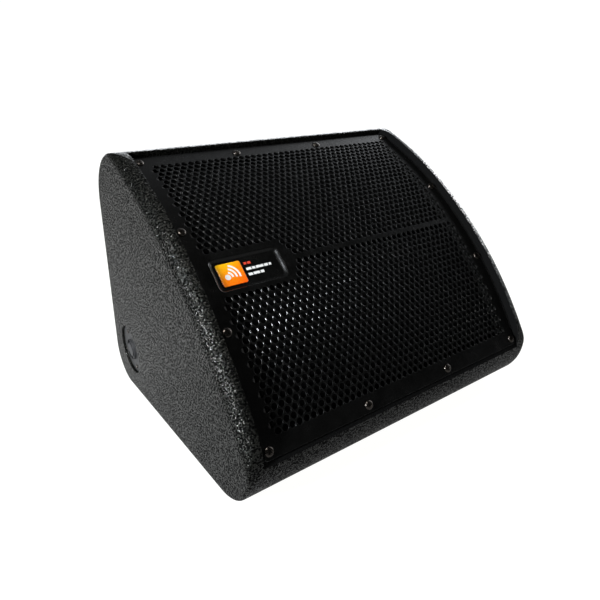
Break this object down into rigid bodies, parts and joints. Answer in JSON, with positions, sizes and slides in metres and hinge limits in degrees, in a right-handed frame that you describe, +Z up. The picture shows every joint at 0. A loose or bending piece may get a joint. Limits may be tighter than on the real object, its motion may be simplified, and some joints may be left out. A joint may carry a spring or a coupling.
{
  "type": "stage monitor wedge",
  "caption": "Curved-front floor monitor wedge with a perforated steel grille, side speaker sockets and a coaxial driver in a black plywood cabinet.",
  "frame": {"origin": "on the floor, under the middle of the object's outer box", "axes": "+X to the listener's right, +Y to the back of the cabinet, +Z up"},
  "size_m": [0.455, 0.4432, 0.3644],
  "materials": {
    "cabinet_paint": "textured black cabinet paint on plywood",
    "raw_wood": "bare plywood battens",
    "baffle_paint": "matt black painted plywood",
    "grille_steel": "black powder-coated perforated steel",
    "foam": "open-cell black acoustic foam",
    "dark_steel": "blackened steel screws",
    "zinc_steel": "zinc-plated steel",
    "badge_orange": "glossy orange badge",
    "plate_black": "satin black steel",
    "black_plastic": "moulded black plastic",
    "contact_brass": "plated contacts",
    "basket_steel": "black painted pressed steel",
    "gasket": "fibre gasket",
    "pole_steel": "machined steel",
    "ferrite": "dark grey ferrite",
    "cone_paper": "black pressed paper",
    "surround_cloth": "treated black cloth",
    "spider_cloth": "resin-treated yellow cloth",
    "coil_former": "glass fibre former",
    "copper": "enamelled copper winding",
    "dome_metal": "titanium dome",
    "board_green": "green circuit board",
    "spacer_nylon": "white nylon",
    "capacitor_film": "yellow film capacitor",
    "resistor_ceramic": "white ceramic",
    "cable_black": "black cable jacket",
    "cable_red": "red cable jacket",
    "felt": "grey wadding",
    "foot_rubber": "black rubber"
  },
  "bodies": {
    "cabinet": {"side_panel_left": "cabinet_paint", "side_panel_right": "cabinet_paint", "bottom_panel": "cabinet_paint", "back_panel": "cabinet_paint", "top_rail": "cabinet_paint", "front_rail": "cabinet_paint", "rear_rail": "cabinet_paint", "baffle": "baffle_paint", "baffle_battens": "raw_wood", "grille_cleats": "baffle_paint", "grille": "grille_steel", "grille_foam": "foam", "grille_screws": "dark_steel", "badge_plate": "badge_orange", "connector_plate_left": "plate_black", "connector_plate_right": "plate_black", "speaker_socket_left": "black_plastic", "speaker_socket_right": "black_plastic", "socket_contacts": "contact_brass", "socket_screws": "dark_steel", "plate_screws": "dark_steel", "woofer_frame": "basket_steel", "woofer_gasket": "gasket", "woofer_bolts": "dark_steel", "woofer_tee_nuts": "zinc_steel", "woofer_top_plate": "pole_steel", "woofer_magnet": "ferrite", "woofer_yoke": "pole_steel", "woofer_terminals": "contact_brass", "horn": "black_plastic", "hf_yoke": "pole_steel", "hf_magnet": "ferrite", "hf_top_plate": "pole_steel", "hf_phase_plug": "black_plastic", "hf_mount_ring": "black_plastic", "hf_cover": "black_plastic", "hf_screws": "zinc_steel", "port_tubes": "black_plastic", "crossover_board": "board_green", "crossover_spacers": "spacer_nylon", "crossover_screws": "zinc_steel", "inductors": "copper", "capacitors": "capacitor_film", "resistor": "resistor_ceramic", "input_cables": "cable_black", "driver_cables": "cable_red", "damping_pads": "felt", "handle_dish": "plate_black", "handle_grip": "black_plastic", "handle_screws": "dark_steel", "rubber_feet": "foot_rubber", "foot_screws": "zinc_steel"},
    "cone_assembly": {"woofer_cone": "cone_paper", "coil_former": "coil_former", "coil_winding": "copper", "woofer_surround": "surround_cloth", "woofer_spider": "spider_cloth"},
    "dome_assembly": {"hf_diaphragm": "dome_metal", "hf_coil": "copper", "hf_suspension": "spider_cloth"}
  },
  "joints": [
    {"name": "cone_travel", "type": "slide", "parent": "cabinet", "child": "cone_assembly", "axis": [0, -0.7169, 0.6972], "range_m": [-0.006, 0.006], "stiffness_N_per_m": 3000, "deforming": ["woofer_surround", "woofer_spider"]},
    {"name": "dome_travel", "type": "slide", "parent": "cabinet", "child": "dome_assembly", "axis": [0, -0.7169, 0.6972], "range_m": [-0.0004, 0.0004], "stiffness_N_per_m": 20000, "deforming": ["hf_suspension"]}
  ]
}
